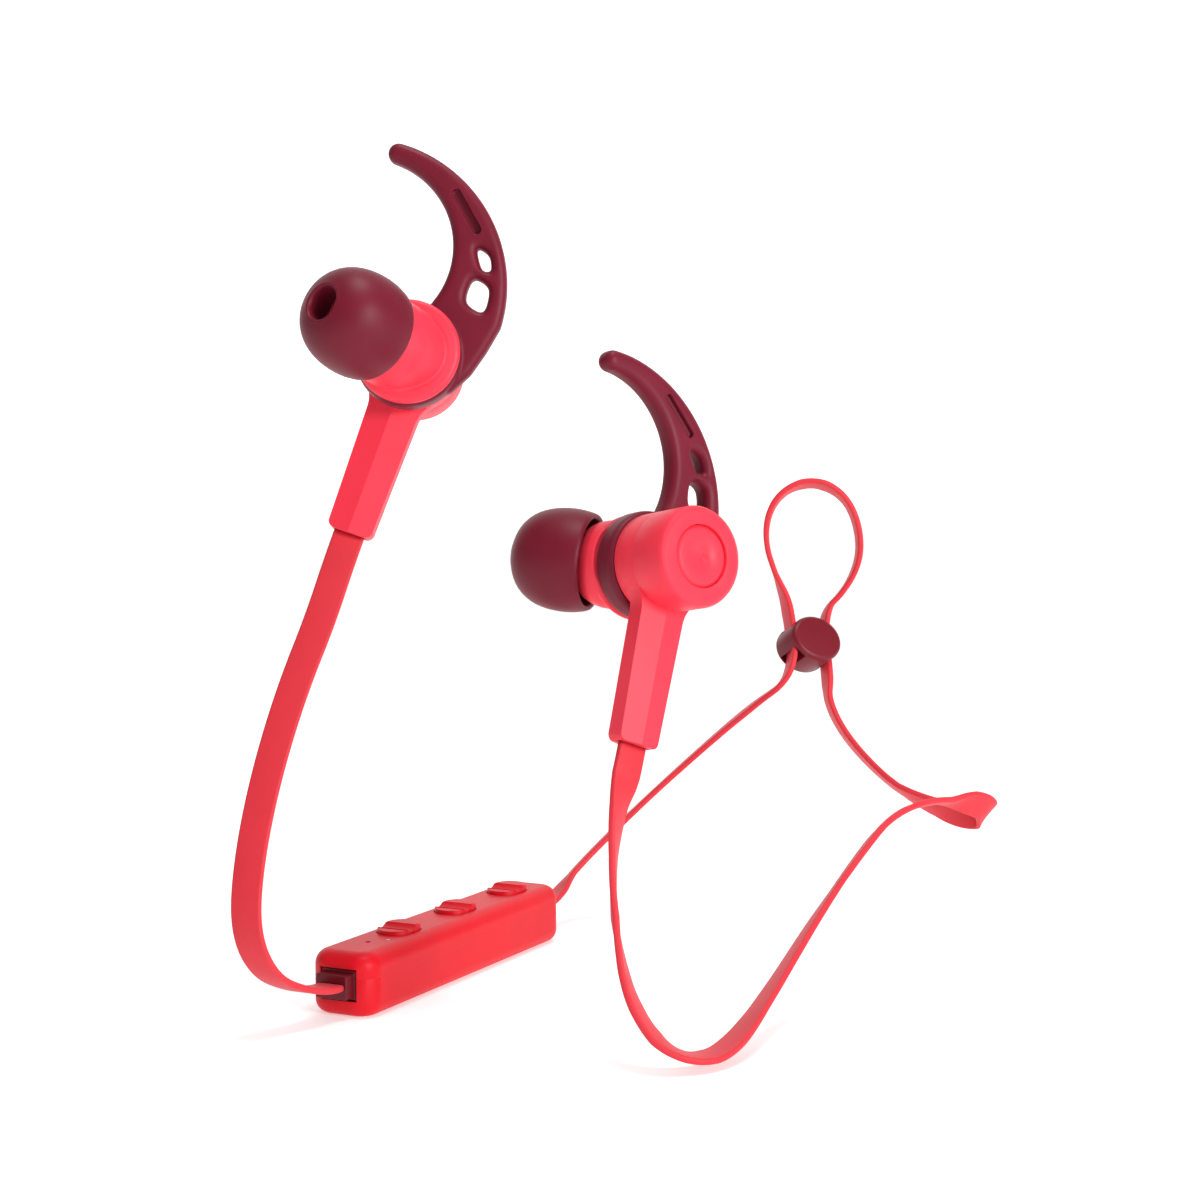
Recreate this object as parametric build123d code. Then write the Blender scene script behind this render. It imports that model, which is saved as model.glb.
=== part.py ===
from build123d import *
import os
from math import cos, radians, sin, tan

# Neckband sport earphones: two earpieces joined by a flat cable that carries
# an in-line remote and a cable slider.  Millimetres, +Z up, the remote lies on
# the floor plane z = 0 and the origin is under the middle of the rigid pieces.

# ---- earpiece housing (local frame: +Z out of the cap, +Y away from the stem,
# ---- -X towards the wearer's face; z = 0 is the cap face)
BODY_R = 6.0
CAP_FACE_R = 5.3
WALL = 0.9
DISC_R = 3.7
DISC_POCKET_R = 3.75
DISC_DEPTH = 0.8
SEAM_Z = -5.4
MID_END_Z = -8.8
SLEEVE_R = 5.0
RING_TOP_Z = -8.95
RING_BOTTOM_Z = -12.0
FLANGE_TOP_Z = -12.1
FLANGE_Z = -12.9
FLANGE_R = 6.35
SPIGOT_Z = -7.6
SPIGOT_BORE_R = 4.1

# ---- stem
STEM_LENGTH = 22.3
STEM_HALF_WIDTH = 3.3
STEM_FOOT_HALF_WIDTH = 2.75
STEM_EDGE_Z = -7.6
STEM_RIDGE = 0.75
STEM_GUSSET_R = 4.2
STEM_CORNER_R = 0.9
CHANNEL_HALF_WIDTH = 2.1
CHANNEL_TOP_Z = -5.8
CHANNEL_BOTTOM_Z = -7.2
SEAL_LENGTH = 2.5

# ---- nozzle and ear tip, measured along the nozzle axis from its pivot
NOZZLE_TILT = 37.0
NOZZLE_PIVOT_Z = -12.0
NECK_R = 5.5
NECK_TIP_R = 4.3
NECK_LENGTH = 6.2
NOZZLE_R = 2.6
NOZZLE_BORE_R = 1.7
NOZZLE_END = 11.8
MESH_THICKNESS = 0.3
TIP_RIM = 5.7
TIP_LENGTH = 9.9
TIP_R = 6.3
TIP_MOUTH_R = 2.1
TIP_CLEARANCE = 0.05

# ---- ear wing, in the plane of its ring
WING_OUTER_CENTRE = (-8.6, 6.1)
WING_OUTER_R = 17.9
WING_INNER_CENTRE = (-9.5, 10.8)
WING_INNER_R = 10.9
WING_RING_R = 6.3
WING_CLEARANCE = 0.05
WING_TURN = {"left": 5.0, "right": 0.0}
WING_LEAN = {"left": -1.0, "right": 4.0}
WING_THICKNESS = 2.2

# ---- remote
REMOTE_LENGTH = 52.0
REMOTE_WIDTH = 9.1
REMOTE_HEIGHT = 8.0
REMOTE_CORNER_R = 2.9
REMOTE_EDGE_R = 1.9
REMOTE_FOOT_R = 1.7
REMOTE_WALL = 1.0
PARTING_HEIGHT = 4.9
BUTTON_PLACES = (-11.5, 3.0, 17.5)
BUTTON_LENGTH = 6.4
BUTTON_WIDTH = 4.6
BUTTON_RISE = 0.9
BUTTON_LEDGE = 0.4
BUTTON_GAP = 0.15
CABLE_HEIGHT = 4.1

# ---- cable: a 3.8 x 1.0 ribbon, drawn as a round tube of the same section area
CABLE_R = 1.1
STEM_LEAD = 3.5

# ---- slider
SLIDER_HALF_WIDTH = 4.1
SLIDER_HALF_HEIGHT = 3.5
SLIDER_THICKNESS = 5.6
STRAND_OFFSET = 2.3
SLOT_HALF_WIDTH = 1.4
SLOT_HALF_DEPTH = 2.2

# ---- where the pieces stand
EARPIECES = {
    "left": Plane(origin=(21.45, -28.6, 57.2), x_dir=(0.776, 0.534, -0.336), z_dir=(0.603, -0.784, 0.146)),
    "right": Plane(origin=(-13.2, -5.7, 78.9), x_dir=(-0.944, 0.067, 0.322), z_dir=(0.009, 0.984, -0.18)),
}
REMOTE_PLANE = Plane(origin=(-11.05, 7.7, 0), x_dir=(0.44, 0.90, 0), z_dir=(0, 0, 1))
SLIDER_PLANE = Plane(origin=(40.2, 39.4, 41.3), x_dir=(0.886, 0.414, -0.177), z_dir=(0.45, -0.77, 0.45))

SHORT_ROUTE = [
    (-24.0, -17.6, 49.0), (-26.7, -19.5, 41.9), (-28.8, -21.5, 35.0),
    (-30.4, -23.8, 28.1), (-31.4, -26.2, 21.4), (-31.7, -28.0, 15.6), (-31.1, -28.2, 11.6),
    (-29.8, -26.7, 8.3), (-28.2, -23.6, 6.0),
]
LONG_ROUTE_BACK = [
    (5.2, 40.0, 7.0), (11.0, 42.6, 12.6), (17.8, 43.4, 19.0), (24.5, 42.8, 25.2),
    (31.4, 40.4, 31.6),
]
LOOP_ROUTE = [
    (35.6, 42.0, 51.4), (34.1, 42.2, 55.8), (34.3, 42.0, 60.1), (36.2, 41.6, 63.4),
    (39.5, 41.4, 65.0), (42.9, 41.2, 64.7), (45.7, 41.3, 62.4), (47.1, 41.6, 58.8),
    (47.3, 42.1, 54.6), (45.5, 42.6, 49.6),
]
LONG_ROUTE_FRONT = [
    (42.9, 36.5, 33.0), (44.8, 33.6, 29.0), (48.0, 29.2, 25.2), (51.8, 24.9, 22.0),
    (56.1, 20.8, 20.2), (59.8, 18.9, 19.4), (62.4, 17.0, 19.7), (62.3, 14.5, 21.1),
    (59.9, 12.8, 22.2), (55.8, 10.9, 22.8), (50.8, 6.9, 22.6), (46.4, 1.8, 20.8), (42.8, -3.4, 17.8),
    (39.3, -8.6, 14.6), (35.7, -13.8, 11.0), (32.0, -20.1, 7.2), (28.4, -27.3, 4.1),
    (25.0, -34.4, 1.9), (22.2, -38.2, 1.1), (19.0, -40.0, 1.6), (15.9, -40.2, 3.6),
    (13.6, -39.0, 7.0),
    (12.3, -37.5, 10.6), (11.3, -35.8, 16.6), (11.1, -34.3, 23.0), (11.8, -33.2, 29.2),
]


def turned(outline):
    """Solid of revolution about Z of an outline of (radius, height) points."""
    return revolve(make_face(Polyline(*[(r, 0, z) for r, z in outline], close=True)), Axis.Z)


def disc(radius, top, bottom):
    """Round plate between two heights on the Z axis."""
    return Pos(0, 0, (top + bottom) / 2) * Cylinder(radius, top - bottom)


def ring(outer, inner, top, bottom):
    """Flat ring between two heights on the Z axis."""
    return disc(outer, top, bottom) - disc(inner, top + 1, bottom - 1)


def block(size, centre):
    """Box of a given size about a given centre."""
    return Pos(*centre) * Box(*size)


def slab(sketch, top, bottom):
    """Sketch of the XY plane as a plate between two heights."""
    return Pos(0, 0, bottom) * extrude(sketch, top - bottom)


def nozzle_location():
    """Local frame of the nozzle: +Z runs out along the nozzle to the ear canal."""
    tilt = radians(NOZZLE_TILT)
    return Location(Plane(origin=(0, 0, NOZZLE_PIVOT_Z), x_dir=(cos(tilt), 0, -sin(tilt)),
                          z_dir=(-sin(tilt), 0, -cos(tilt))))


# ---------------------------------------------------------------- earpiece

def body_and_stem_outline():
    """Round body and tapering stem seen from the cap, with gusset fillets and a rounded foot."""
    bar = make_face(Polyline((-STEM_HALF_WIDTH, 0), (STEM_HALF_WIDTH, 0), (STEM_FOOT_HALF_WIDTH, -STEM_LENGTH),
                             (-STEM_FOOT_HALF_WIDTH, -STEM_LENGTH), close=True))
    outline = Circle(BODY_R) + bar
    corners = [v for v in outline.vertices() if -BODY_R < v.Y < -1]
    outline = fillet(corners, STEM_GUSSET_R)
    foot = [v for v in outline.vertices() if v.Y < 0.1 - STEM_LENGTH]
    return fillet(foot, STEM_CORNER_R)


def roof(height, base_z):
    """Shallow two-sided roof over the stem, ridge along Y, rising from base_z."""
    reach = 3 * STEM_HALF_WIDTH
    slope = height / STEM_HALF_WIDTH
    outline = Polyline((-reach, base_z + height - slope * reach), (0, base_z + height),
                       (reach, base_z + height - slope * reach), close=True)
    wedge = extrude(Plane.XZ * make_face(outline), STEM_LENGTH)
    return wedge


def rear_shell():
    """Outer half of the housing: the cap drum and the outer facets of the stem."""
    drum = turned([(0, 0), (CAP_FACE_R, 0), (5.75, -0.25), (BODY_R, -0.8), (BODY_R, SEAM_Z), (0, SEAM_Z)])
    facets = slab(body_and_stem_outline(), SEAM_Z + STEM_RIDGE, SEAM_Z) & roof(STEM_RIDGE, SEAM_Z)
    shell = drum + facets
    shell -= disc(DISC_POCKET_R, 0.1, -DISC_DEPTH)
    shell -= disc(BODY_R - WALL, -DISC_DEPTH - WALL, SEAM_Z - 0.1)
    return shell


def mid_shell():
    """Inner half of the housing: the ring behind the seam and the inner half of the stem."""
    tube = disc(BODY_R, SEAM_Z, MID_END_Z)
    stem = slab(body_and_stem_outline(), SEAM_Z, STEM_EDGE_Z)
    under = slab(body_and_stem_outline(), STEM_EDGE_Z, STEM_EDGE_Z - STEM_RIDGE)
    under &= mirror(roof(STEM_RIDGE, -STEM_EDGE_Z), Plane.XY)
    shell = tube + stem + under
    shell -= disc(SLEEVE_R + WING_CLEARANCE, SEAM_Z + 1, MID_END_Z - 1)
    channel = block((2 * CHANNEL_HALF_WIDTH, STEM_LENGTH, CHANNEL_TOP_Z - CHANNEL_BOTTOM_Z),
                    (0, -STEM_LENGTH / 2 - 1, (CHANNEL_TOP_Z + CHANNEL_BOTTOM_Z) / 2))
    return shell - channel


def cable_seal():
    """Soft block that closes the stem's end round the cable."""
    size = (2 * CHANNEL_HALF_WIDTH, SEAL_LENGTH, CHANNEL_TOP_Z - CHANNEL_BOTTOM_Z)
    return block(size, (0, -STEM_LENGTH + SEAL_LENGTH / 2, (CHANNEL_TOP_Z + CHANNEL_BOTTOM_Z) / 2))


def front_shell():
    """Sleeve for the wing, flange and tilted nozzle in one moulding."""
    rim = FLANGE_R - 0.5
    sleeve = disc(SLEEVE_R, SPIGOT_Z, FLANGE_Z)
    flange = turned([(0, FLANGE_TOP_Z), (rim, FLANGE_TOP_Z), (FLANGE_R, FLANGE_TOP_Z - 0.5),
                     (FLANGE_R, FLANGE_Z + 0.1), (rim, FLANGE_Z - 0.4), (0, FLANGE_Z - 1.3)])
    place = nozzle_location()
    profile = [Line((0, -1), (NECK_R, -1)), Line((NECK_R, -1), (NECK_R, 0.4)),
               ThreePointArc((NECK_R, 0.4), (NECK_R - 0.2, 3.2), (NECK_TIP_R, NECK_LENGTH)),
               ThreePointArc((NECK_TIP_R, NECK_LENGTH), (NOZZLE_R + 1.1, NECK_LENGTH + 0.6),
                             (NOZZLE_R, NECK_LENGTH + 0.8)),
               Line((NOZZLE_R, NECK_LENGTH + 0.8), (NOZZLE_R, NOZZLE_END)),
               Line((NOZZLE_R, NOZZLE_END), (0, NOZZLE_END)), Line((0, NOZZLE_END), (0, -1))]
    neck = place * revolve(Plane.XZ * make_face(profile), Axis.Z) & disc(40, FLANGE_TOP_Z, -40)
    shell = sleeve + flange + neck
    shell -= disc(SPIGOT_BORE_R, SPIGOT_Z + 1, NOZZLE_PIVOT_Z)
    shell -= place * disc(NOZZLE_BORE_R, NOZZLE_END + 1, -1)
    seat = place * disc(NOZZLE_BORE_R + 0.4, NOZZLE_END + 1, NOZZLE_END - MESH_THICKNESS)
    return shell - seat


def nozzle_mesh():
    """Fine dust screen pressed into the mouth of the nozzle."""
    return nozzle_location() * disc(NOZZLE_BORE_R + 0.4, NOZZLE_END, NOZZLE_END - MESH_THICKNESS)


def ear_tip():
    """Soft mushroom tip: a domed skirt folded back from a sleeve that grips the nozzle."""
    apex = TIP_RIM + TIP_LENGTH
    widest = TIP_RIM + 2.7
    bore = NOZZLE_R + TIP_CLEARANCE
    sleeve = bore + 0.75
    dome = [(TIP_R * cos(radians(a)), widest + (apex - widest) * sin(radians(a))) for a in range(0, 67, 11)]
    hollow = [(5.3, widest + 0.3), (4.9, widest + 2.4), (4.2, widest + 4.0), (sleeve, widest + 4.7)]
    outline = [(5.8, TIP_RIM), (6.2, TIP_RIM + 1.2)] + dome + [(TIP_MOUTH_R, apex - 0.1)]
    outline += [(TIP_MOUTH_R, NOZZLE_END + 0.4), (bore, NOZZLE_END + 0.4), (bore, TIP_RIM + 1.6)]
    outline += [(sleeve, TIP_RIM + 1.6)] + hollow[::-1] + [(5.2, TIP_RIM + 0.2)]
    return nozzle_location() * turned(outline)


def circle_point(centre, radius, angle):
    """Point on a circle at an angle in degrees."""
    return (centre[0] + radius * cos(radians(angle)), centre[1] + radius * sin(radians(angle)))


def wing_sketch():
    """Crescent of the wing, from its rounded tip down to the ring."""
    outer_tip = circle_point(WING_OUTER_CENTRE, WING_OUTER_R, 89)
    outer_mid = circle_point(WING_OUTER_CENTRE, WING_OUTER_R, 45)
    outer_base = circle_point(WING_OUTER_CENTRE, WING_OUTER_R, 2)
    inner_tip = circle_point(WING_INNER_CENTRE, WING_INNER_R, 89)
    inner_mid = circle_point(WING_INNER_CENTRE, WING_INNER_R, 40)
    inner_base = circle_point(WING_INNER_CENTRE, WING_INNER_R, -16)
    end = (WING_OUTER_CENTRE[0] - 1.4, (outer_tip[1] + inner_tip[1]) / 2 + 0.1)
    edges = [ThreePointArc(outer_tip, outer_mid, outer_base), ThreePointArc(outer_base, (8.3, 1.2), (5.3, -3.8)),
             Line((5.3, -3.8), (0, 3)), Line((0, 3), inner_base),
             ThreePointArc(inner_base, inner_mid, inner_tip), ThreePointArc(inner_tip, end, outer_tip)]
    return make_face(edges)


def wing(lean):
    """Soft ear wing: a ring that turns on the housing and a crescent that leans by some degrees."""
    middle = RING_TOP_Z - WING_THICKNESS / 2
    hoop = ring(WING_RING_R, SLEEVE_R + WING_CLEARANCE, RING_TOP_Z, RING_BOTTOM_Z)
    hook = slab(wing_sketch(), middle + WING_THICKNESS / 2, middle - WING_THICKNESS / 2)
    large = make_face(Polyline((4.0, 11.3), (6.7, 10.7), (6.9, 7.4), (3.9, 8.1), close=True))
    small = Pos(4.7, 13.8) * Rot(0, 0, -50) * SlotOverall(3.2, 1.6)
    blind = Pos(0.9, 18.6) * Rot(0, 0, -42) * SlotOverall(6.4, 1.1)
    hook -= slab(large, middle + 3, middle - 3)
    hook -= slab(small, middle + 3, middle - 3)
    hook -= slab(blind, middle - WING_THICKNESS / 2 + 0.7, middle - 3)
    lean_axis = Axis((0, 0, middle), (24, 9, 0))
    hook = hook.rotate(lean_axis, -lean)
    hook -= disc(SLEEVE_R + 0.6, 0, -20)
    hook -= disc(WING_RING_R, 0, RING_TOP_Z)
    hook -= disc(FLANGE_R + 0.2, RING_BOTTOM_Z, -20)
    return hoop + hook


def driver_parts():
    """Pieces of the dynamic driver and its wiring, seated on the earpiece's axis."""
    yoke = disc(3.6, -3.0, -5.9) - disc(3.0, -3.6, -6.0)
    return {
        "terminal_board": disc(3.4, -2.2, -2.8),
        "driver_yoke": yoke,
        "driver_magnet": disc(2.2, -3.6, -5.0),
        "driver_top_plate": disc(2.3, -5.0, -5.6),
        "voice_coil": ring(2.75, 2.45, -5.0, -6.6),
        "driver_frame": ring(4.9, 3.7, -5.0, -7.2),
        "diaphragm": disc(3.6, -6.65, -6.75),
        "acoustic_gasket": ring(4.8, 4.2, -7.25, -7.55),
    }


def earpiece(side):
    """All pieces of one earpiece in the shared frame; the right one is mirrored."""
    pieces = {
        "rear_shell": rear_shell(),
        "cap_disc": disc(DISC_R, 0, -DISC_DEPTH),
        "mid_shell": mid_shell(),
        "front_shell": front_shell(),
        "cable_seal": cable_seal(),
        "nozzle_mesh": nozzle_mesh(),
        "ear_tip": ear_tip(),
        "ear_wing": Rot(0, 0, WING_TURN[side]) * wing(WING_LEAN[side]),
    }
    pieces.update(driver_parts())
    for name, piece in pieces.items():
        if side == "right":
            piece = mirror(piece, Plane.YZ)
        save(side + "_" + name, Location(EARPIECES[side]) * piece)


# ---------------------------------------------------------------- remote

def remote_block(inset=0.0):
    """Rounded bar of the remote, or its inner cavity when inset by the wall."""
    length = REMOTE_LENGTH - 2 * inset
    width = REMOTE_WIDTH - 2 * inset
    height = REMOTE_HEIGHT - 2 * inset
    bar = Pos(0, 0, REMOTE_HEIGHT / 2) * Box(length, width, height)
    bar = fillet(bar.edges().filter_by(Axis.Z), REMOTE_CORNER_R - inset)
    bar = fillet(bar.faces().sort_by(Axis.Z)[-1].edges(), REMOTE_EDGE_R - inset / 2)
    return fillet(bar.faces().sort_by(Axis.Z)[0].edges(), REMOTE_FOOT_R - inset / 2)


def button_sketch(grow=0.0):
    """Plan of one button: a rounded oblong."""
    return SlotOverall(BUTTON_LENGTH + 2 * grow, BUTTON_WIDTH + 2 * grow)


def button(place):
    """Raised button with a groove across it, a lower ledge on one side and a flange that keeps it in."""
    top = REMOTE_HEIGHT + BUTTON_RISE
    key = Pos(place, 0) * slab(button_sketch(), top, 6.6)
    key = fillet(key.faces().sort_by(Axis.Z)[-1].edges(), 0.3)
    key += Pos(place, 0) * slab(button_sketch(0.5), 6.6, 6.1)
    key += Pos(place, 0) * disc(0.9, 6.1, 5.75)
    groove = Pos(place - 0.7, 0, top + 1.0) * Rot(90, 0, 0) * Cylinder(1.6, 12)
    ledge = block((BUTTON_LENGTH, 12, 2 * BUTTON_LEDGE), (place - BUTTON_LENGTH / 2 - 1.6, 0, top))
    return key - groove - ledge


def remote_openings():
    """Cable recesses, microphone hole, light window and charging port of the shells."""
    cuts = Part()
    for end in (-1, 1):
        cuts += block((2 * REMOTE_WALL + 0.4, 5.2, 4.0), (end * REMOTE_LENGTH / 2, 0, CABLE_HEIGHT))
    cuts += Pos(-19.0, 0, REMOTE_HEIGHT) * Cylinder(0.4, 4)
    cuts += Pos(-16.6, -1.5, REMOTE_HEIGHT) * Cylinder(0.35, 4)
    cuts += block((7.6, 4, 2.4), (17.0, REMOTE_WIDTH / 2, 3.2))
    return cuts


def remote():
    """Remote: two shells, keys, and the electronics inside."""
    hollow = remote_block() - remote_block(REMOTE_WALL) - remote_openings()
    over = block((80, 20, 10), (0, 0, PARTING_HEIGHT + 5))
    top_shell = hollow & over
    bottom_shell = hollow - over
    pieces = {}
    for number, place in enumerate(BUTTON_PLACES, 1):
        top_shell -= Pos(place, 0) * slab(button_sketch(BUTTON_GAP), 12, 6)
        pieces[f"button_{number}"] = button(place)
    domes = Part()
    for place in BUTTON_PLACES:
        domes += Pos(place, 0, 5.1) * Cylinder(1.4, 0.6)
    pieces.update({
        "remote_top_shell": top_shell,
        "remote_bottom_shell": bottom_shell,
        "button_switches": domes,
        "remote_board": block((46, 6.4, 0.6), (0, 0, 4.5)),
        "battery": fillet(block((22, 5.8, 2.4), (-2, 0, 2.4)).edges().filter_by(Axis.X), 0.6),
        "battery_pad": block((20, 4.4, 0.2), (-2, 0, 1.1)),
        "radio_module": block((7.0, 5.0, 1.2), (-20.0, 0, 3.6)),
        "microphone": block((2.4, 2.0, 1.0), (-19.0, 0, 5.3)),
        "microphone_seal": Pos(-19.0, 0, 6.35) * (Cylinder(1.0, 1.1) - Cylinder(0.4, 2)),
        "light_guide": Pos(-16.6, -1.5, 6.4) * Cylinder(0.3, 3.1),
        "charging_socket": block((7.2, 3.4, 2.2), (17.0, 2.6, 3.1)) - block((6.4, 3.0, 1.4), (17.0, 3.2, 3.1)),
    })
    for number, end in enumerate((-1, 1), 1):
        flange = block((0.9, 5.0, 3.8), (end * (REMOTE_LENGTH / 2 - 0.75), 0, CABLE_HEIGHT))
        nose = block((1.8, 4.4, 3.0), (end * (REMOTE_LENGTH / 2 + 0.6), 0, CABLE_HEIGHT))
        pieces[f"remote_grommet_{number}"] = flange + nose
    for name, piece in pieces.items():
        save(name, Location(REMOTE_PLANE) * piece)


# ---------------------------------------------------------------- cable

def tube(name, route):
    """Round cable along straight runs joined by tangent arcs."""
    points = [Vector(*p) for p in route]
    runs = [b - a for a, b in zip(points, points[1:])]
    radii = []
    for before, after in zip(runs, runs[1:]):
        turn = radians(before.get_angle(after))
        radii.append(0.45 * min(before.length, after.length) / tan(turn / 2))
    path = FilletPolyline(*points, radius=radii)
    profile = Plane(origin=points[0], z_dir=runs[0]) * Circle(CABLE_R)
    solid = sweep(profile, path=path)
    ratio = solid.volume / (Circle(CABLE_R).area * path.length)
    print(name, "length", round(path.length, 1), "volume ratio", round(ratio, 4),
          "radii", [round(r, 1) for r in radii])
    save(name, solid)


def cables():
    """Short cable from the right earpiece, and long cable through slider and loop."""
    stem_end = {}
    stem_lead = {}
    middle = (CHANNEL_TOP_Z + CHANNEL_BOTTOM_Z) / 2
    for side, plane in EARPIECES.items():
        stem_end[side] = plane.from_local_coords((0, -STEM_LENGTH, middle))
        stem_lead[side] = plane.from_local_coords((0, -STEM_LENGTH - STEM_LEAD, middle))
    nose = REMOTE_LENGTH / 2 + 1.5
    near = REMOTE_PLANE.from_local_coords((-nose, 0, CABLE_HEIGHT))
    near_lead = REMOTE_PLANE.from_local_coords((-nose - 3.0, 0, CABLE_HEIGHT))
    far = REMOTE_PLANE.from_local_coords((nose, 0, CABLE_HEIGHT))
    far_lead = REMOTE_PLANE.from_local_coords((nose + 4.0, 0, CABLE_HEIGHT))
    strand = {}
    for side, offset in (("left", -STRAND_OFFSET), ("right", STRAND_OFFSET)):
        for end, height in (("low", -5.4), ("high", 5.4)):
            strand[side, end] = SLIDER_PLANE.from_local_coords((offset, height, 0))
    tube("cable_short", [stem_end["right"], stem_lead["right"], *SHORT_ROUTE, near_lead, near])
    tube("cable_long", [far, far_lead, *LONG_ROUTE_BACK, strand["left", "low"], strand["left", "high"],
                        *LOOP_ROUTE, strand["right", "high"], strand["right", "low"],
                        *LONG_ROUTE_FRONT, stem_lead["left"], stem_end["left"]])


def slider():
    """Oval bead with two parallel slots for the doubled cable."""
    bead = slab(Ellipse(SLIDER_HALF_WIDTH, SLIDER_HALF_HEIGHT), SLIDER_THICKNESS / 2, -SLIDER_THICKNESS / 2)
    bead = fillet(bead.edges(), 0.5)
    for offset in (-STRAND_OFFSET, STRAND_OFFSET):
        bead -= block((2 * SLOT_HALF_WIDTH, 12, 2 * SLOT_HALF_DEPTH), (offset, 0, 0))
    save("cable_slider", Location(SLIDER_PLANE) * bead)


def save(name, shape):
    """Write one piece as its own file."""
    export_step(shape, f"parts/{name}.step")


os.makedirs("parts", exist_ok=True)
earpiece("left")
earpiece("right")
remote()
cables()
slider()
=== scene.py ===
import bpy
import bmesh
from math import cos, pi, radians, sin
from mathutils import Matrix, Vector


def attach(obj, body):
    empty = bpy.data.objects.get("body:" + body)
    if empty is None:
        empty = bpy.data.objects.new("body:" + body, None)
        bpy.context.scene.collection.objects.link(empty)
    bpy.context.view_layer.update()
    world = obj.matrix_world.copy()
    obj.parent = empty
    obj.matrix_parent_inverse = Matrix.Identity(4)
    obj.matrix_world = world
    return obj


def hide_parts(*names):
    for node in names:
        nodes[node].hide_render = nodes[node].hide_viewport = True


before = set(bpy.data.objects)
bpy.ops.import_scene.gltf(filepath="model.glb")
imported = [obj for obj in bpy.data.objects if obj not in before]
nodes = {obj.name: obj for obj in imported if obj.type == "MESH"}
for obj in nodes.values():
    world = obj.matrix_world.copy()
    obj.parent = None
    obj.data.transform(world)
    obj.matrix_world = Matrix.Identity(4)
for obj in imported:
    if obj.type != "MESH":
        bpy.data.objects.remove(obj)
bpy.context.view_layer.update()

MM = 0.001

# Local frames of the two earpieces, the remote and the slider: origin, X and Z, in millimetres.
EARPIECES = {
    "left": ((21.45, -28.6, 57.2), (0.776, 0.534, -0.336), (0.603, -0.784, 0.146)),
    "right": ((-13.2, -5.7, 78.9), (-0.944, 0.067, 0.322), (0.009, 0.984, -0.18)),
}
REMOTE = ((-11.05, 7.7, 0), (0.44, 0.90, 0), (0, 0, 1))
SLIDER = ((40.2, 39.4, 41.3), (0.886, 0.414, -0.177), (0.45, -0.77, 0.45))
NOZZLE_TILT = 37.0
NOZZLE_PIVOT_Z = -12.0
STEM_LENGTH = 22.3
STEM_LEAD = 3.5
CHANNEL_MIDDLE_Z = -6.5
RING_TOP_Z = -8.95
RING_BOTTOM_Z = -12.0
WING_TURN = {"left": 5.0, "right": 0.0}
WING_LEAN = {"left": -1.0, "right": 4.0}
STRAND_OFFSET = 2.8
RIBBON_WIDTH = 3.8
RIBBON_THICKNESS = 0.8
RIBBON_CORNER_R = 0.28
CABLE_HEIGHT = 4.1
GROMMET_END = 27.5
GROMMET_LEAD = 3.0
SLIDER_LEAD = 5.4
SLIDER_HALF_WIDTH = 4.1
SLIDER_HALF_HEIGHT = 3.5
SLIDER_HALF_THICKNESS = 2.8
WING_HALF_THICKNESS = 1.45
HOOP_BORE_R = 5.05
CAMERA_PLACE = (0.0097, -0.2818, 0.068)
CAMERA_PITCH = 86.411


def matrix_of(place):
    """Matrix of a local frame, from millimetres there to metres in the shared frame."""
    origin, x_dir, z_dir = (Vector(v) for v in place)
    z_axis = z_dir.normalized()
    x_axis = (x_dir - z_axis * x_dir.dot(z_axis)).normalized()
    y_axis = z_axis.cross(x_axis)
    turn = Matrix((x_axis, y_axis, z_axis)).transposed().to_4x4()
    return Matrix.Diagonal((MM, MM, MM, 1)) @ Matrix.Translation(origin) @ turn


def ear_matrix(side):
    """Matrix of one earpiece; the right one is the left one mirrored across its X."""
    flip = Matrix.Diagonal((-1 if side == "right" else 1, 1, 1, 1))
    return matrix_of(EARPIECES[side]) @ flip


def nozzle_matrix(side):
    """Matrix whose +Z runs out along the nozzle to the ear canal."""
    tilt = Matrix.Rotation(radians(180 + NOZZLE_TILT), 4, "Y")
    return ear_matrix(side) @ Matrix.Translation((0, 0, NOZZLE_PIVOT_Z)) @ tilt


# ---------------------------------------------------------------- materials

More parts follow.
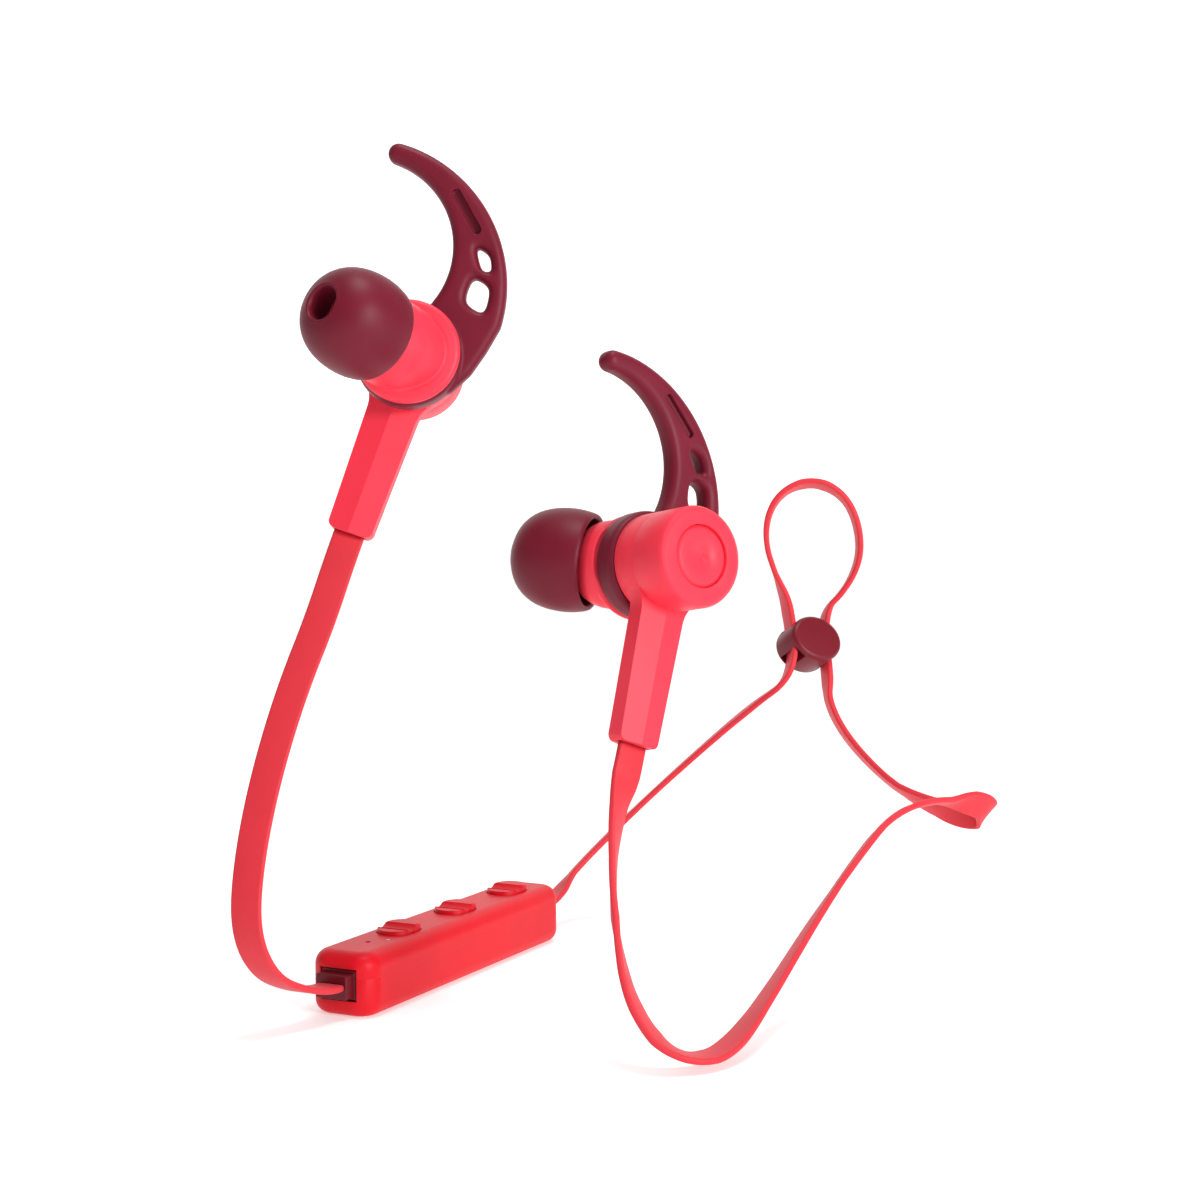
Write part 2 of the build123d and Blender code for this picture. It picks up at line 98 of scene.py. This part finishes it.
def material(name, base, deep, roughness, grain=0.04, sheen=0.0, subsurface=0.0, metallic=0.0, shine=0.3):
    """Moulded finish: two close tones mottled by noise, with a fine grain in its relief."""
    m = bpy.data.materials.new(name)
    m.use_nodes = True
    tree = m.node_tree
    shader = tree.nodes["Principled BSDF"]
    where = tree.nodes.new("ShaderNodeTexCoord")
    noise = tree.nodes.new("ShaderNodeTexNoise")
    noise.inputs["Scale"].default_value = 175
    noise.inputs["Detail"].default_value = 4
    tree.links.new(where.outputs["Object"], noise.inputs["Vector"])
    ramp = tree.nodes.new("ShaderNodeValToRGB")
    ramp.color_ramp.elements[0].position = 0.3
    ramp.color_ramp.elements[0].color = (*deep, 1)
    ramp.color_ramp.elements[1].position = 0.7
    ramp.color_ramp.elements[1].color = (*base, 1)
    tree.links.new(noise.outputs["Fac"], ramp.inputs["Fac"])
    tree.links.new(ramp.outputs["Color"], shader.inputs["Base Color"])
    fine = tree.nodes.new("ShaderNodeTexNoise")
    fine.inputs["Scale"].default_value = 4200
    tree.links.new(where.outputs["Object"], fine.inputs["Vector"])
    spread = tree.nodes.new("ShaderNodeMapRange")
    spread.inputs["To Min"].default_value = roughness - 0.05
    spread.inputs["To Max"].default_value = roughness + 0.05
    tree.links.new(fine.outputs["Fac"], spread.inputs["Value"])
    tree.links.new(spread.outputs["Result"], shader.inputs["Roughness"])
    bump = tree.nodes.new("ShaderNodeBump")
    bump.inputs["Strength"].default_value = grain
    bump.inputs["Distance"].default_value = 0.0001
    tree.links.new(fine.outputs["Fac"], bump.inputs["Height"])
    tree.links.new(bump.outputs["Normal"], shader.inputs["Normal"])
    shader.inputs["Metallic"].default_value = metallic
    shader.inputs["Specular IOR Level"].default_value = 0.5 if metallic else shine
    if sheen:
        shader.inputs["Sheen Weight"].default_value = sheen
        shader.inputs["Sheen Roughness"].default_value = 0.4
        shader.inputs["Sheen Tint"].default_value = (0.9, 0.7, 0.75, 1)
    if subsurface:
        shader.inputs["Subsurface Weight"].default_value = subsurface
        shader.inputs["Subsurface Radius"].default_value = (1.0, 0.3, 0.25)
        shader.inputs["Subsurface Scale"].default_value = 0.0006
    return m


FINISHES = {
    "housing_red": material("housing_red", (0.90, 0.036, 0.068), (0.87, 0.032, 0.062), 0.45, sheen=0.06),
    "disc_red": material("disc_red", (0.90, 0.036, 0.068), (0.87, 0.032, 0.062), 0.45, sheen=0.06),
    "remote_red": material("remote_red", (0.66, 0.004, 0.014), (0.62, 0.0035, 0.012), 0.45, shine=0.2),
    "button_red": material("button_red", (0.66, 0.004, 0.015), (0.62, 0.0035, 0.013), 0.45, shine=0.2),
    "tip_silicone": material("tip_silicone", (0.155, 0.003, 0.017), (0.138, 0.0025, 0.015), 0.48,
                             sheen=0.08, subsurface=0.1, shine=0.25),
    "wing_silicone": material("wing_silicone", (0.165, 0.004, 0.020), (0.145, 0.003, 0.017), 0.48,
                              sheen=0.1, subsurface=0.1, shine=0.25),
    "cable_red": material("cable_red", (0.68, 0.030, 0.046), (0.64, 0.027, 0.041), 0.55, sheen=0.05),
    "seal_rubber": material("seal_rubber", (0.42, 0.010, 0.02), (0.38, 0.008, 0.018), 0.6),
    "grommet_burgundy": material("grommet_burgundy", (0.13, 0.003, 0.010), (0.11, 0.0025, 0.008), 0.4),
    "slider_burgundy": material("slider_burgundy", (0.17, 0.003, 0.013), (0.15, 0.0025, 0.011), 0.42,
                                sheen=0.1),
    "screen_steel": material("screen_steel", (0.35, 0.34, 0.34), (0.28, 0.28, 0.28), 0.35, metallic=1.0),
    "driver_steel": material("driver_steel", (0.50, 0.50, 0.52), (0.42, 0.42, 0.44), 0.3, metallic=1.0),
    "magnet_nickel": material("magnet_nickel", (0.60, 0.57, 0.52), (0.52, 0.50, 0.46), 0.25, metallic=1.0),
    "coil_copper": material("coil_copper", (0.72, 0.30, 0.13), (0.62, 0.24, 0.10), 0.3, metallic=1.0),
    "frame_black": material("frame_black", (0.018, 0.018, 0.020), (0.013, 0.013, 0.014), 0.5),
    "diaphragm_film": material("diaphragm_film", (0.55, 0.50, 0.42), (0.50, 0.45, 0.38), 0.3),
    "foam_black": material("foam_black", (0.025, 0.025, 0.026), (0.012, 0.012, 0.012), 0.9, grain=0.4),
    "board_green": material("board_green", (0.015, 0.16, 0.06), (0.010, 0.12, 0.045), 0.4),
    "battery_foil": material("battery_foil", (0.62, 0.63, 0.65), (0.52, 0.53, 0.55), 0.3, metallic=0.9),
    "light_guide": material("light_guide", (0.80, 0.76, 0.74), (0.72, 0.68, 0.66), 0.25),
}


def paint(obj, name):
    """Gives a piece one of the finishes."""
    obj.data.materials.clear()
    obj.data.materials.append(FINISHES[name])


# ---------------------------------------------------------------- mesh helpers

def new_object(name, mesh, smooth=True):
    """Puts a mesh into the scene."""
    mesh.validate()
    if smooth:
        mesh.polygons.foreach_set("use_smooth", [True] * len(mesh.polygons))
    obj = bpy.data.objects.new(name, mesh)
    bpy.context.scene.collection.objects.link(obj)
    return obj


def evaluated_mesh(obj):
    """Mesh of an object as shown, modifiers included."""
    bpy.context.view_layer.update()
    evaluated = obj.evaluated_get(bpy.context.evaluated_depsgraph_get())
    return bpy.data.meshes.new_from_object(evaluated)


def bake(obj):
    """Replaces an object's mesh by its evaluated one."""
    mesh = evaluated_mesh(obj)
    obj.modifiers.clear()
    obj.data = mesh


def discard(obj):
    """Takes a helper object out of the file."""
    bpy.data.objects.remove(obj, do_unlink=True)


def lathe(name, outline, matrix, steps=72):
    """Closed solid of revolution about local Z of a closed outline of (radius, height), in mm."""
    made = bmesh.new()
    rings = []
    for step in range(steps):
        a = 2 * pi * step / steps
        rings.append([made.verts.new((r * cos(a), r * sin(a), z)) for r, z in outline])
    count = len(outline)
    for step in range(steps):
        here, there = rings[step], rings[(step + 1) % steps]
        for i in range(count):
            j = (i + 1) % count
            made.faces.new((here[i], here[j], there[j], there[i]))
    bmesh.ops.recalc_face_normals(made, faces=made.faces)
    mesh = bpy.data.meshes.new(name)
    made.to_mesh(mesh)
    made.free()
    mesh.transform(matrix)
    if matrix.determinant() < 0:
        mesh.flip_normals()
    return new_object(name, mesh)


def rounded(points, share=0.2, passes=3):
    """Closed outline with its corners softened by corner cutting, deepest in the first pass."""
    for _ in range(passes):
        cut = []
        for i, here in enumerate(points):
            after = points[(i + 1) % len(points)]
            cut.append(tuple(h * (1 - share) + a * share for h, a in zip(here, after)))
            cut.append(tuple(h * share + a * (1 - share) for h, a in zip(here, after)))
        points = cut
        share = 0.25
    return points


def oblong(centre, length, width, turn):
    """Outline of a bar with round ends, turned by some degrees about its centre."""
    reach = (length - width) / 2
    outline = []
    for end, start in ((reach, -90), (-reach, 90)):
        for x, y in arc((end, 0), width / 2, start, start + 180, 8):
            c, s = cos(radians(turn)), sin(radians(turn))
            outline.append((centre[0] + c * x - s * y, centre[1] + s * x + c * y))
    return outline


def plate(name, outlines, half_thickness, soft):
    """Flat plate with round edges from closed outlines in local mm; inner outlines are holes."""
    curve = bpy.data.curves.new(name, "CURVE")
    curve.dimensions = "2D"
    curve.fill_mode = "BOTH"
    for outline in outlines:
        spline = curve.splines.new("POLY")
        spline.points.add(len(outline) - 1)
        for point, (x, y) in zip(spline.points, outline):
            point.co = (x, y, 0, 1)
        spline.use_cyclic_u = True
    curve.extrude = half_thickness - soft
    curve.bevel_depth = soft
    curve.bevel_resolution = 3
    curve.offset = -soft
    obj = bpy.data.objects.new(name, curve)
    bpy.context.scene.collection.objects.link(obj)
    mesh = evaluated_mesh(obj)
    discard(obj)
    return mesh


def joined(name, meshes):
    """One mesh out of several."""
    made = bmesh.new()
    for mesh in meshes:
        made.from_mesh(mesh)
    bmesh.ops.remove_doubles(made, verts=made.verts, dist=1e-4)
    mesh = bpy.data.meshes.new(name)
    made.to_mesh(mesh)
    made.free()
    return mesh


def cut_away(obj, cutter):
    """Takes one solid away from another and discards it."""
    modifier = obj.modifiers.new("cut", "BOOLEAN")
    modifier.operation = "DIFFERENCE"
    modifier.solver = "EXACT"
    modifier.object = cutter
    bake(obj)
    discard(cutter)


def moulded(obj, voxel, passes):
    """Fuses a piece's overlapping parts into one skin and softens its edges."""
    remesh = obj.modifiers.new("skin", "REMESH")
    remesh.mode = "VOXEL"
    remesh.voxel_size = voxel
    remesh.use_smooth_shade = True
    soften = obj.modifiers.new("soften", "SMOOTH")
    soften.factor = 0.5
    soften.iterations = passes
    bake(obj)


def to_shared(obj, matrix):
    """Takes a mesh made in a local frame to the shared frame."""
    obj.data.transform(matrix)
    if matrix.determinant() < 0:
        obj.data.flip_normals()
    obj.data.polygons.foreach_set("use_smooth", [True] * len(obj.data.polygons))


def arc(centre, radius, start, end, steps):
    """Points of an arc, angles in degrees."""
    turns = [radians(start + (end - start) * i / steps) for i in range(steps + 1)]
    return [(centre[0] + radius * cos(t), centre[1] + radius * sin(t)) for t in turns]


# ---------------------------------------------------------------- camera

def camera():
    """Low front view with a slightly long lens."""
    data = bpy.data.cameras.new("camera")
    data.lens = 66
    data.sensor_width = 36
    data.clip_start = 0.01
    obj = bpy.data.objects.new("camera", data)
    obj.location = CAMERA_PLACE
    obj.rotation_euler = (radians(CAMERA_PITCH), 0, 0)
    bpy.context.scene.collection.objects.link(obj)
    bpy.context.scene.camera = obj


# ---------------------------------------------------------------- cords

# Each route point may carry the direction that the ribbon's width points in there.
SHORT_ROUTE = [
    ((-24.0, -17.6, 49.0), (-0.944, 0.067, 0.322)), ((-26.7, -19.5, 41.9), None),
    ((-28.8, -21.5, 35.0), (-0.94, 0.2, 0.25)), ((-30.4, -23.8, 28.1), None),
    ((-31.4, -26.2, 21.4), (-0.95, 0.3, 0.1)), ((-31.7, -28.0, 15.6), None),
    ((-31.1, -28.2, 11.6), (-0.93, 0.36, 0.0)), ((-29.8, -26.7, 8.3), None),
    ((-28.2, -23.6, 6.0), (-0.9, 0.44, 0)),
]
LONG_ROUTE_BACK = [
    ((5.2, 40.0, 7.0), (0.3, -0.87, 0.38)), ((11.0, 42.6, 12.6), (0.1, -0.98, 0.17)),
    ((17.8, 43.4, 19.0), (-0.05, -1.0, 0.06)), ((24.5, 42.8, 25.2), None),
    ((31.4, 40.4, 31.6), (-0.15, -0.97, -0.1)),
]
LOOP_ROUTE = [
    ((35.6, 42.0, 51.4), (-0.1, -0.99, 0.11)), ((34.1, 42.2, 55.8), (-0.07, -1.0, 0)),
    ((34.3, 42.0, 60.1), None), ((36.2, 41.6, 63.4), (-0.19, -0.98, 0.08)),
    ((39.5, 41.4, 65.0), (-0.11, -0.96, 0.25)), ((42.9, 41.2, 64.7), (0.08, -0.97, 0.23)),
    ((46.0, 41.3, 62.4), None), ((47.7, 41.6, 58.4), (0.07, -0.99, -0.09)),
    ((48.0, 42.1, 53.8), (-0.02, -0.99, -0.11)), ((46.0, 42.6, 49.2), (-0.1, -0.99, 0)),
]
LONG_ROUTE_FRONT = [
    ((42.9, 36.5, 33.0), (-0.02, -0.85, 0.52)), ((44.8, 33.6, 29.0), None),
    ((48.0, 29.2, 25.2), (-0.35, -0.74, 0.57)), ((51.8, 24.9, 22.0), (-0.44, -0.73, 0.51)),
    ((56.1, 20.8, 20.2), (-0.3, -0.6, 0.75)), ((59.8, 18.9, 19.4), (0.1, -0.2, 0.97)),
    ((62.4, 17.0, 19.7), (0.6, 0, 0.8)), ((62.3, 14.5, 21.1), (0.7, 0.05, 0.7)),
    ((59.9, 12.8, 22.2), (0.6, -0.3, 0.75)), ((55.8, 10.9, 22.8), (0.54, -0.8, 0.2)),
    ((50.8, 6.9, 22.6), (0.6, -0.7, 0.39)), ((46.4, 1.8, 20.8), (0.45, -0.64, 0.62)),
    ((42.8, -3.4, 17.8), None), ((39.3, -8.6, 14.6), (0.36, -0.67, 0.65)),
    ((35.7, -13.8, 11.0), None), ((32.0, -20.1, 7.2), (0.55, -0.6, 0.59)),
    ((28.4, -27.3, 4.1), (0.68, -0.52, 0.51)), ((25.0, -34.4, 1.9), (0.76, -0.53, 0.2)),
    ((22.2, -38.2, 1.1), (0.68, -0.73, 0)), ((19.0, -40.0, 1.6), (0.24, -0.96, 0)),
    ((15.9, -40.2, 3.6), (-0.18, -0.98, 0)), ((13.6, -39.0, 7.0), (-0.29, -0.93, 0.21)),
    ((12.3, -37.5, 10.6), (-0.18, -0.94, 0.27)), ((11.3, -35.8, 16.6), (0.06, -0.97, 0.25)),
    ((11.1, -34.3, 23.0), (-0.1, -0.98, 0.2)), ((11.8, -33.2, 29.2), (-0.46, -0.88, 0.05)),
]


def spline_points(route):
    """Close points, in metres, of the smooth curve that a route steers."""
    curve = bpy.data.curves.new("route", "CURVE")
    curve.dimensions = "3D"
    spline = curve.splines.new("NURBS")
    spline.points.add(len(route) - 1)
    for point, (place, _) in zip(spline.points, route):
        point.co = (*(Vector(place) * MM), 1)
    spline.order_u = 3
    spline.use_endpoint_u = True
    spline.resolution_u = 10
    obj = bpy.data.objects.new("route", curve)
    mesh = bpy.data.meshes.new_from_object(obj)
    points = [v.co.copy() for v in mesh.vertices]
    discard(obj)
    return points


def width_directions(points, route):
    """Direction of the ribbon's width at each point, turning evenly between the given ones."""
    keys = []
    for place, width in route:
        if width is None:
            continue
        nearest = min(range(len(points)), key=lambda i: (points[i] - Vector(place) * MM).length)
        keys.append((nearest, Vector(width).normalized()))
    found = []
    for i in range(len(points)):
        before = [k for k in keys if k[0] <= i] or keys[:1]
        after = [k for k in keys if k[0] > i] or keys[-1:]
        (start, a), (end, b) = before[-1], after[0]
        share = 0 if end <= start else (i - start) / (end - start)
        tangent = (points[min(i + 1, len(points) - 1)] - points[max(i - 1, 0)]).normalized()
        width = a.lerp(b, share)
        found.append((tangent, (width - tangent * width.dot(tangent)).normalized()))
    return found


def ribbon_section():
    """Outline of the flat cable across its width, in mm, with round edges."""
    half, edge = RIBBON_WIDTH / 2, RIBBON_THICKNESS / 2
    outline = []
    for cx, cy, start in ((1, 1, 0), (-1, 1, 90), (-1, -1, 180), (1, -1, 270)):
        centre = (cx * (half - RIBBON_CORNER_R), cy * (edge - RIBBON_CORNER_R))
        outline += arc(centre, RIBBON_CORNER_R, start, start + 90, 4)
    return outline


def ribbon(name, route, cad_node):
    """Flat cable swept along its route in place of a CAD node."""
    points = spline_points(route)
    section = ribbon_section()
    made = bmesh.new()
    rows = []
    for point, (tangent, width) in zip(points, width_directions(points, route)):
        across = tangent.cross(width)
        rows.append([made.verts.new(point + width * (x * MM) + across * (y * MM)) for x, y in section])
    for here, there in zip(rows, rows[1:]):
        for i in range(len(section)):
            j = (i + 1) % len(section)
            made.faces.new((here[i], here[j], there[j], there[i]))
    made.faces.new(rows[0][::-1])
    made.faces.new(rows[-1])
    bmesh.ops.recalc_face_normals(made, faces=made.faces)
    mesh = bpy.data.meshes.new(name)
    made.to_mesh(mesh)
    made.free()
    obj = new_object(name, mesh)
    paint(obj, "cable_red")
    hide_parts(cad_node)
    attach(obj, "headset")


def local_mm(place, point, flip=1):
    """Point of a local frame, in millimetres of the shared frame."""
    return tuple(matrix_of(place) @ Vector((flip * point[0], point[1], point[2])) / MM)


def ribbons():
    """Short cable from the right earpiece to the remote, and long cable from the remote to the left one."""
    stem = {}
    for side, place in EARPIECES.items():
        stem[side] = [(local_mm(place, (0, -STEM_LENGTH - away, CHANNEL_MIDDLE_Z)), None)
                      for away in (0, STEM_LEAD)]
    near = [(local_mm(REMOTE, (-GROMMET_END - away, 0, CABLE_HEIGHT)), (-0.9, 0.44, 0))
            for away in (GROMMET_LEAD, 0)]
    far = [(local_mm(REMOTE, (GROMMET_END, 0, CABLE_HEIGHT)), (0.9, -0.44, 0.1)),
           (local_mm(REMOTE, (GROMMET_END + 4.0, 0, CABLE_HEIGHT)), (0.83, -0.4, 0.39))]
    facing = (0.2, -0.9, 0.38)
    first = [(local_mm(SLIDER, (-STRAND_OFFSET, height, 0)), facing)
             for height in (-SLIDER_LEAD, SLIDER_LEAD)]
    second = [(local_mm(SLIDER, (STRAND_OFFSET, height, 0)), facing)
              for height in (SLIDER_LEAD, -SLIDER_LEAD)]
    end = stem["left"][0][0]
    start = stem["right"][0][0]
    ribbon("ribbon_short", [(start, (-0.944, 0.067, 0.322)), stem["right"][1], *SHORT_ROUTE, *near],
           "cable_short")
    ribbon("ribbon_long", [*far, *LONG_ROUTE_BACK, *first, *LOOP_ROUTE, *second, *LONG_ROUTE_FRONT,
                           (stem["left"][1][0], (-0.776, -0.534, 0.336)), (end, (-0.776, -0.534, 0.336))],
           "cable_long")


# ---------------------------------------------------------------- ear tips

def ear_tip(side):
    """Soft silicone tip: a domed skirt, open behind, folded in at the mouth to a sleeve on the nozzle."""
    rim, apex, widest = 5.7, 15.6, 8.4
    blunt = 0.82
    dome = [(6.3 * cos(radians(a)) ** blunt, widest + (apex - widest) * sin(radians(a)) ** blunt)
            for a in (0, 2, 5, 9, 14, 20, 26, 32, 38, 44, 50, 55, 60, 64, 68, 71)]
    lip = [(2.35, apex - 0.22), (2.15, apex - 0.38), (2.05, apex - 0.8)]
    bore = [(2.0, 12.4), (2.0, 12.2), (2.65, 12.2), (2.65, 7.4)]
    sleeve = [(2.9, 7.3), (3.3, 7.3), (3.4, 7.5), (3.4, 12.9)]
    hollow = [(3.9, 12.9), (4.5, 12.0), (5.05, 10.8), (5.4, 9.4), (5.5, 8.0), (5.3, rim + 0.5)]
    edge = [(5.25, rim + 0.25), (5.4, rim + 0.05), (5.6, rim), (5.82, rim + 0.1), (5.98, rim + 0.5),
            (6.22, rim + 1.7)]
    tip = lathe(side + "_tip_skirt", dome + lip + bore + sleeve + hollow + edge, nozzle_matrix(side), 96)
    paint(tip, "tip_silicone")
    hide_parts(side + "_ear_tip")
    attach(tip, side + "_tip")


# ---------------------------------------------------------------- housing fronts and cap discs

def front_shell(side):
    """Sleeve with a rounded flange, a shallow valley and the tilted dome that the nozzle grows from."""
    sleeve_outline = [(4.1, -7.6), (5.0, -7.6), (5.0, -12.1), (5.9, -12.1), (6.2, -12.2), (6.36, -12.5),
                      (6.36, -12.75), (6.2, -13.1), (5.9, -13.25), (4.9, -13.45), (4.1, -13.2)]
    flange = lathe("flange", sleeve_outline, Matrix.Identity(4))
    tilt = Matrix.Translation((0, 0, NOZZLE_PIVOT_Z)) @ Matrix.Rotation(radians(180 + NOZZLE_TILT), 4, "Y")
    dome_outline = [(1.7, -5.0), (4.5, -5.0), (4.6, -1.5), (4.8, 0.2), (5.15, 1.4), (5.35, 2.6), (5.3, 3.8),
                    (5.0, 5.0), (4.4, 6.1), (3.7, 6.8), (2.6, 7.0), (2.6, 11.8), (2.3, 11.95),
                    (1.95, 11.8), (1.7, 11.5)]
    dome = lathe("dome", dome_outline, tilt)
    above = lathe("above", [(0.01, 5), (30, 5), (30, -12.2), (0.01, -12.2)], Matrix.Identity(4), 24)
    cut_away(dome, above)
    obj = new_object(side + "_front_housing", joined("front", [flange.data, dome.data]))
    discard(flange)
    discard(dome)
    moulded(obj, 0.13, 7)
    to_shared(obj, ear_matrix(side))
    paint(obj, "housing_red")
    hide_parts(side + "_front_shell")
    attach(obj, "headset")


def cap_disc(side):
    """Inlaid disc of the cap, with a chamfered edge."""
    disc = lathe(side + "_cap_inlay", [(0.02, 0), (3.1, 0), (3.22, -0.03), (3.6, -0.32), (3.68, -0.45),
                                       (3.7, -0.8), (0.02, -0.8)], ear_matrix(side), 96)
    paint(disc, "disc_red")
    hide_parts(side + "_cap_disc")
    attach(disc, "headset")


# ---------------------------------------------------------------- ear wings

def wing_outline():
    """Crescent of the wing, from its base on the ring round the tip and back."""
    outer = arc((-8.6, 6.1), 17.95, 2, 88, 40)
    tip = arc((-9.3, 22.75), 1.27, 90, 270, 10)
    inner = arc((-9.5, 10.8), 10.7, 88, -16, 40)
    base = [(-0.5, 4.0), (0.0, 3.0), (2.6, -0.6), (5.0, -3.6), (6.3, -2.6), (7.8, 0.2), (8.7, 3.4)]
    return outer + tip + inner + base


def wing(side):
    """Ear wing in soft silicone: turning ring, crescent with two windows and a blind slot."""
    large = rounded([(4.1, 11.6), (6.6, 11.0), (7.0, 7.5), (4.1, 8.2)])
    small = rounded([(3.2, 15.2), (5.2, 14.7), (6.1, 12.8), (4.9, 12.5)])
    middle = RING_TOP_Z - 1.1
    hook = plate("hook", [wing_outline(), large, small], WING_HALF_THICKNESS, 1.0)
    lean = Matrix.Rotation(radians(-WING_LEAN[side]), 4, Vector((24, 9, 0)).normalized())
    hook.transform(Matrix.Translation((0, 0, middle)) @ lean)
    matrix = ear_matrix(side) @ Matrix.Rotation(radians(WING_TURN[side]), 4, "Z")
    top, bottom = RING_TOP_Z, RING_BOTTOM_Z
    hoop_outline = [(HOOP_BORE_R, top - 0.2), (5.25, top), (6.1, top), (6.45, top - 0.35), (6.5, top - 0.8),
                    (6.5, bottom + 0.8), (6.4, bottom + 0.3), (6.1, bottom), (5.25, bottom),
                    (HOOP_BORE_R, bottom + 0.2)]
    hoop = lathe("hoop", hoop_outline, Matrix.Identity(4))
    mesh = joined("wing", [hook, hoop.data])
    discard(hoop)
    obj = new_object(side + "_wing_skin", mesh)
    moulded(obj, 0.16, 5)
    bore = lathe("bore", [(0.01, 2), (HOOP_BORE_R, 2), (HOOP_BORE_R, -20), (0.01, -20)], Matrix.Identity(4))
    cut_away(obj, bore)
    groove = plate("groove", [oblong((0.9, 18.6), 6.2, 1.15, -42)], 0.9, 0.25)
    for height in (-1.6, 1.6):
        cutter_mesh = groove.copy()
        cutter_mesh.transform(Matrix.Translation((0, 0, middle)) @ lean @ Matrix.Translation((0, 0, height)))
        cut_away(obj, new_object("cutter", cutter_mesh))
    to_shared(obj, matrix)
    paint(obj, "wing_silicone")
    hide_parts(side + "_ear_wing")
    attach(obj, side + "_wing")


# ---------------------------------------------------------------- slider

def slider():
    """Oval bead with a flat front face and two slots that the ribbon runs through."""
    outline = [(SLIDER_HALF_WIDTH * cos(t), SLIDER_HALF_HEIGHT * sin(t))
               for t in (2 * pi * i / 64 for i in range(64))]
    bead = new_object("slider_bead", plate("bead", [outline], SLIDER_HALF_THICKNESS, 0.7))
    for offset in (-STRAND_OFFSET, STRAND_OFFSET):
        box = bpy.data.meshes.new("slot")
        made = bmesh.new()
        bmesh.ops.create_cube(made, size=1, matrix=Matrix.Translation((offset, 0, 0)) @
                              Matrix.Diagonal((1.5, 12, 4.2, 1)))
        made.to_mesh(box)
        made.free()
        cut_away(bead, new_object("cutter", box, smooth=False))
    bead.data.transform(matrix_of(SLIDER))
    paint(bead, "slider_burgundy")
    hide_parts("cable_slider")
    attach(bead, "slider")


# ---------------------------------------------------------------- hard pieces

def soften_edges(node, width, angle=25):
    """Small moulding radius on a hard piece's edges."""
    obj = nodes[node]
    weld = obj.modifiers.new("weld", "WELD")
    weld.merge_threshold = 0.000004
    flat = obj.modifiers.new("flat", "DECIMATE")
    flat.decimate_type = "DISSOLVE"
    flat.angle_limit = radians(1.0)
    bevel = obj.modifiers.new("bevel", "BEVEL")
    bevel.width = width
    bevel.segments = 3
    bevel.limit_method = "ANGLE"
    bevel.angle_limit = radians(angle)
    bevel.use_clamp_overlap = True
    bevel.harden_normals = True


def hard_pieces():
    """Finishes of the CAD pieces that stay, with softened edges on the visible ones."""
    for obj in nodes.values():
        for slot in obj.material_slots:
            base = slot.material.name.split(".")[0]
            if base in FINISHES:
                slot.material = FINISHES[base]
    for side in EARPIECES:
        soften_edges(side + "_rear_shell", 0.00015)
        soften_edges(side + "_mid_shell", 0.00025)
    for node in ("remote_top_shell", "remote_bottom_shell"):
        soften_edges(node, 0.00012, 40)
    for number in (1, 2, 3):
        soften_edges(f"button_{number}", 0.00025)
    for number in (1, 2):
        soften_edges(f"remote_grommet_{number}", 0.00025)


# ---------------------------------------------------------------- studio

def glowing(name, colour, strength):
    """White paint that is lit evenly, as paper in a light tent."""
    m = bpy.data.materials.new(name)
    m.use_nodes = True
    shader = m.node_tree.nodes["Principled BSDF"]
    shader.inputs["Base Color"].default_value = (*colour, 1)
    shader.inputs["Roughness"].default_value = 0.7
    shader.inputs["Specular IOR Level"].default_value = 0.1
    shader.inputs["Emission Color"].default_value = (1, 1, 1, 1)
    shader.inputs["Emission Strength"].default_value = strength
    return m


def plane(name, place, turn, paint_name, colour, strength):
    """Large white sheet of the studio."""
    mesh = bpy.data.meshes.new(name)
    made = bmesh.new()
    bmesh.ops.create_grid(made, x_segments=1, y_segments=1, size=3)
    made.to_mesh(mesh)
    made.free()
    obj = new_object(name, mesh, smooth=False)
    obj.location = place
    obj.rotation_euler = turn
    obj.data.materials.append(glowing(paint_name, colour, strength))


def studio():
    """White floor just under the lowest point, and a white sheet far behind."""
    plane("floor", (0, 0, -0.00005), (0, 0, 0), "floor_white", (0.82, 0.82, 0.82), 0.42)
    plane("backdrop", (0, 2.8, 1.5), (radians(90), 0, 0), "backdrop_white", (0.5, 0.5, 0.5), 1.0)


def area_light(name, place, target, size, power):
    """Soft box that faces a point."""
    data = bpy.data.lights.new(name, "AREA")
    data.shape = "SQUARE"
    data.size = size
    data.energy = power
    obj = bpy.data.objects.new(name, data)
    obj.location = place
    obj.rotation_euler = (Vector(target) - Vector(place)).to_track_quat("-Z", "Y").to_euler()
    bpy.context.scene.collection.objects.link(obj)


def lights():
    """Soft white surround with a key from the front right, low enough to light the upright faces."""
    world = bpy.data.worlds.new("surround")
    world.use_nodes = True
    world.node_tree.nodes["Background"].inputs["Color"].default_value = (1, 1, 1, 1)
    world.node_tree.nodes["Background"].inputs["Strength"].default_value = 0.36
    bpy.context.scene.world = world
    target = (0.01, 0, 0.05)
    area_light("key", (0.5, -0.55, 0.22), target, 0.22, 3.7)
    area_light("top", (0.1, -0.1, 0.75), target, 0.25, 2.6)
    bpy.context.scene.view_settings.view_transform = "Standard"


camera()
ribbons()
for ear in EARPIECES:
    ear_tip(ear)
    front_shell(ear)
    cap_disc(ear)
    wing(ear)
slider()
hard_pieces()
studio()
lights()
